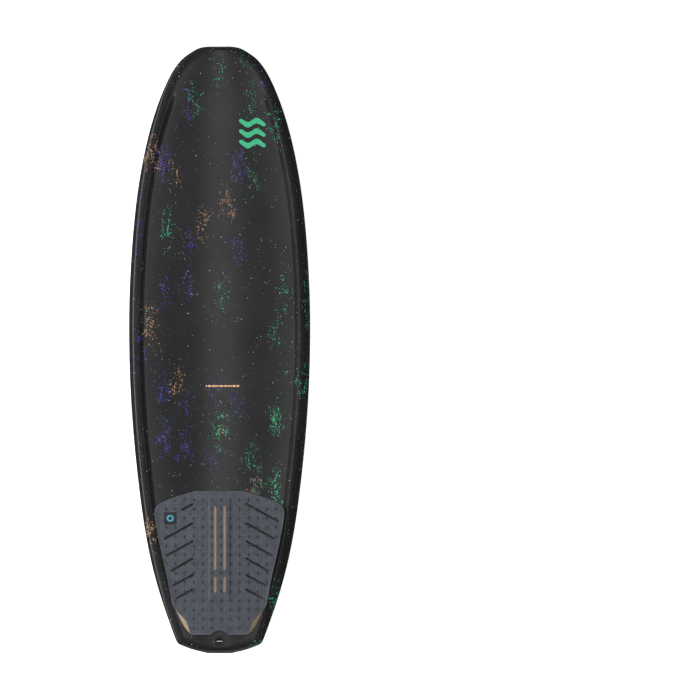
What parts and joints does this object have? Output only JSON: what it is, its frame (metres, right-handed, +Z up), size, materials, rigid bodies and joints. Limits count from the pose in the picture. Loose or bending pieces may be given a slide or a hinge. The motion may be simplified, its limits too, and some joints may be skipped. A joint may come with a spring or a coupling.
{
  "type": "kiteboard",
  "caption": "Strapless surf-style kiteboard with a recessed deck, rear traction pad, leash plug and empty thruster fin boxes.",
  "frame": {"origin": "on the ground plane under the middle of the board's length and width, with the bottom's flat stretch on z = 0", "axes": "+Y runs along the board to the nose, +Z is up out of the deck, and +X is across, to the right seen from the tail"},
  "size_m": [0.463, 1.5494, 0.0975],
  "materials": {
    "lacquered_laminate": "satin charcoal lacquer with fine mint, violet and peach spatter",
    "carbon_patch": "resin-soaked carbon cloth",
    "sandwich_foam": "closed-cell PVC sandwich foam",
    "core_foam": "white expanded bead foam",
    "dense_foam": "dense polyurethane foam",
    "stringer_wood": "straight-grained light wood, unfinished",
    "box_plastic": "moulded glass-filled nylon",
    "black_steel": "black passivated stainless steel",
    "stainless_steel": "polished stainless steel",
    "adhesive_film": "pressure-sensitive film",
    "tan_eva": "tan closed-cell EVA foam",
    "grey_eva": "blue-grey EVA foam with a moulded tile and dot texture",
    "badge_rubber": "moulded rubber with a small cyan wave mark"
  },
  "bodies": {
    "board": {"deck_skin": "lacquered_laminate", "bottom_skin": "lacquered_laminate", "heel_patch": "carbon_patch", "deck_sandwich": "sandwich_foam", "bottom_sandwich": "sandwich_foam", "foam_core_left": "core_foam", "foam_core_right": "core_foam", "rail_left": "dense_foam", "rail_right": "dense_foam", "stringer": "stringer_wood", "fin_box_left": "box_plastic", "fin_box_right": "box_plastic", "fin_box_centre": "box_plastic", "fin_box_block_left": "dense_foam", "fin_box_block_right": "dense_foam", "fin_box_block_centre": "dense_foam", "leash_cup": "box_plastic", "leash_pin": "stainless_steel", "leash_block": "dense_foam", "pad_adhesive": "adhesive_film", "pad_base": "tan_eva", "pad_arch_core": "tan_eva", "pad_kick_wedge": "tan_eva", "pad_top": "grey_eva", "pad_badge": "badge_rubber"},
    "screw_left_front": {"grub_screw_left_front": "black_steel"},
    "screw_left_rear": {"grub_screw_left_rear": "black_steel"},
    "screw_right_front": {"grub_screw_right_front": "black_steel"},
    "screw_right_rear": {"grub_screw_right_rear": "black_steel"},
    "screw_centre_front": {"grub_screw_centre_front": "black_steel"},
    "screw_centre_rear": {"grub_screw_centre_rear": "black_steel"}
  },
  "joints": [
    {"name": "turn_left_front", "type": "hinge", "parent": "board", "child": "screw_left_front", "pos_m": [-0.1405, -0.43933, 0.00683], "axis": [0.7049, -0.0702, -0.7058], "range_deg": [0, 810]},
    {"name": "turn_left_rear", "type": "hinge", "parent": "board", "child": "screw_left_rear", "pos_m": [-0.16265, -0.48443, 0.00963], "axis": [-0.7082, -0.016, -0.7058], "range_deg": [0, 810]},
    {"name": "turn_right_front", "type": "hinge", "parent": "board", "child": "screw_right_front", "pos_m": [0.1405, -0.43933, 0.00683], "axis": [-0.7049, -0.0702, -0.7058], "range_deg": [0, 810]},
    {"name": "turn_right_rear", "type": "hinge", "parent": "board", "child": "screw_right_rear", "pos_m": [0.16265, -0.48443, 0.00963], "axis": [0.7082, -0.016, -0.7058], "range_deg": [0, 810]},
    {"name": "turn_centre_front", "type": "hinge", "parent": "board", "child": "screw_centre_front", "pos_m": [-0.0102, -0.60552, 0.01924], "axis": [-0.7071, -0.0789, -0.7027], "range_deg": [0, 810]},
    {"name": "turn_centre_rear", "type": "hinge", "parent": "board", "child": "screw_centre_rear", "pos_m": [0.0102, -0.65521, 0.02482], "axis": [0.7071, -0.0789, -0.7027], "range_deg": [0, 810]}
  ]
}
